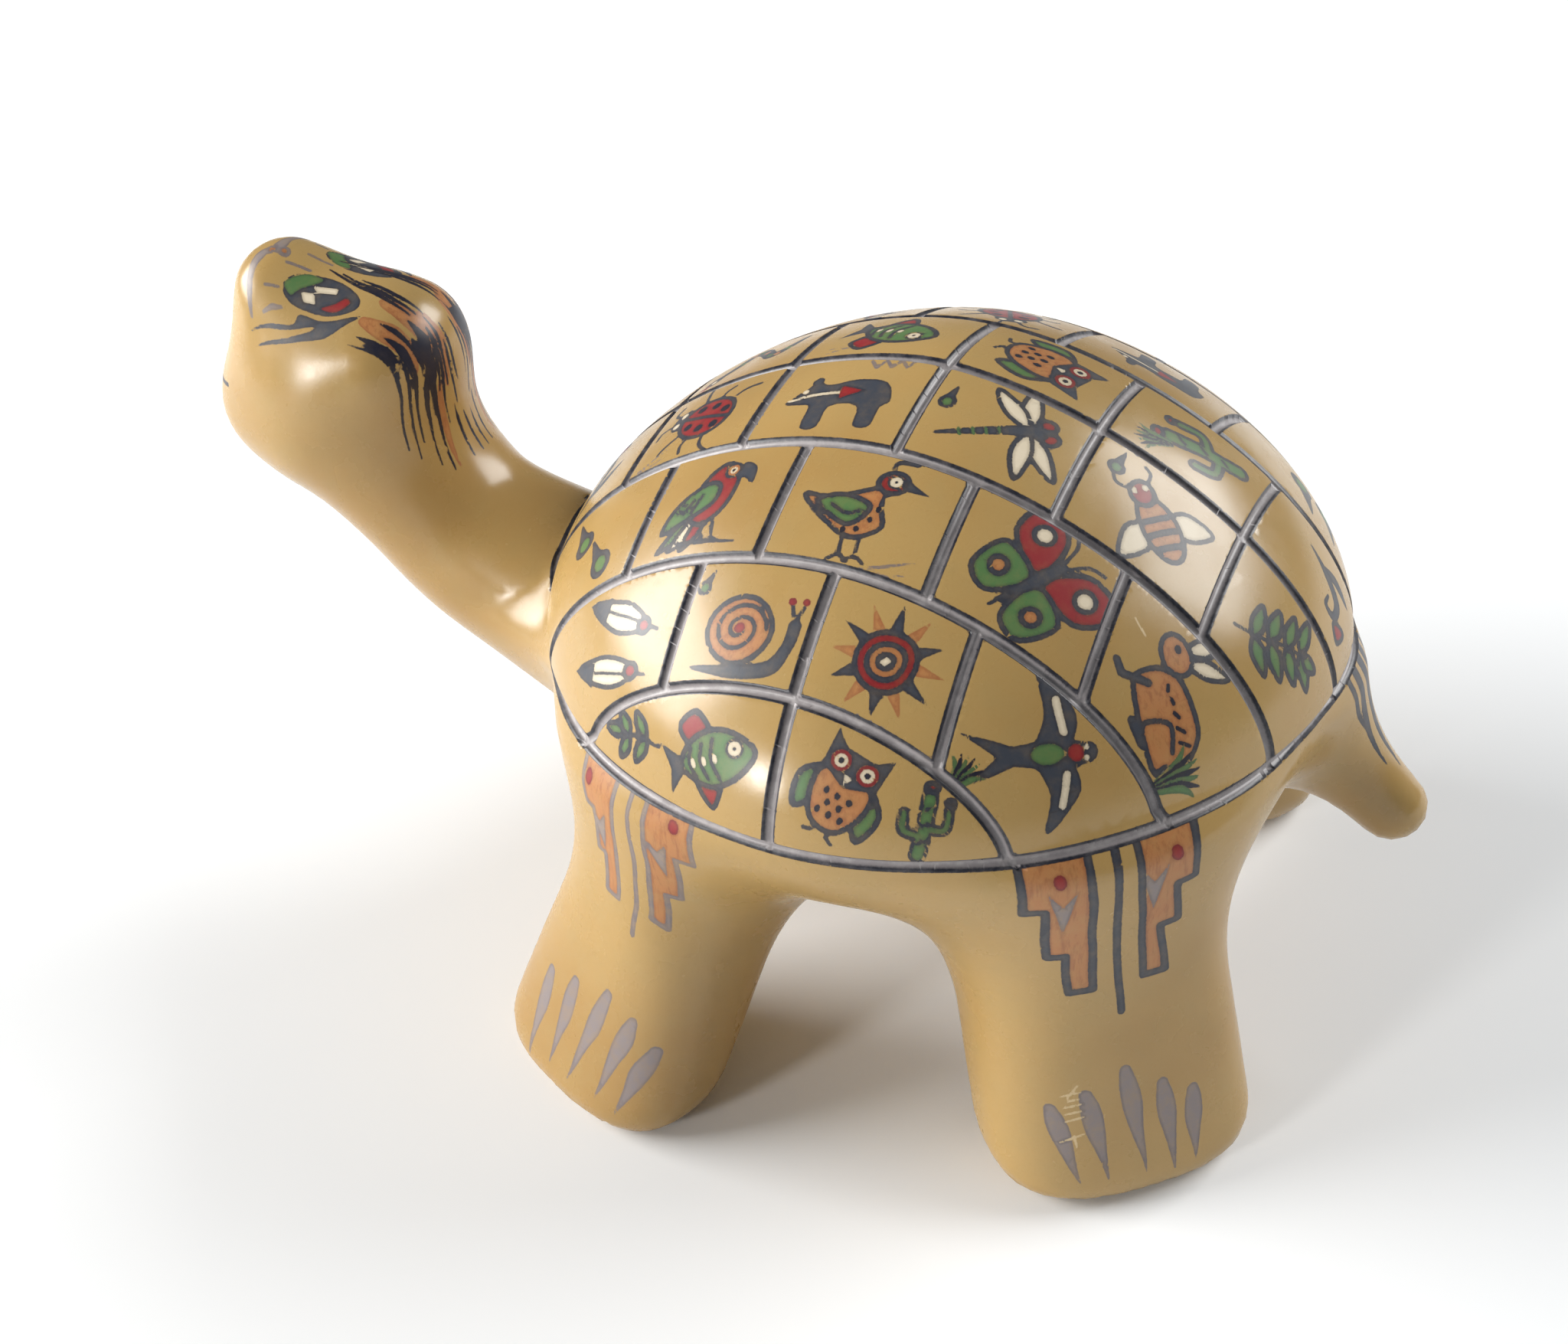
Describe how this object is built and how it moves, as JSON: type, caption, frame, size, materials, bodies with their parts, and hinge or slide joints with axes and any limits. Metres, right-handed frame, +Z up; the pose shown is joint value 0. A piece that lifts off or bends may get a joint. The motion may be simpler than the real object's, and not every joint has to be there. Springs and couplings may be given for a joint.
{
  "type": "pottery turtle figure",
  "caption": "Standing pottery turtle with a raised head, short tail, splayed paddle feet and a domed shell carved with a net of lines between painted panels.",
  "frame": {"origin": "on the ground under the middle of the whole length and width, nose to tail", "axes": "+Z up, the turtle looks along -Y, its left side is +X"},
  "size_m": [0.194, 0.2844, 0.1566],
  "materials": {
    "clay": "stone-burnished tan earthenware, painted with matt blue-grey, rust, red, green and cream slip"
  },
  "bodies": {
    "root": {"turtle": "clay"}
  },
  "joints": []
}
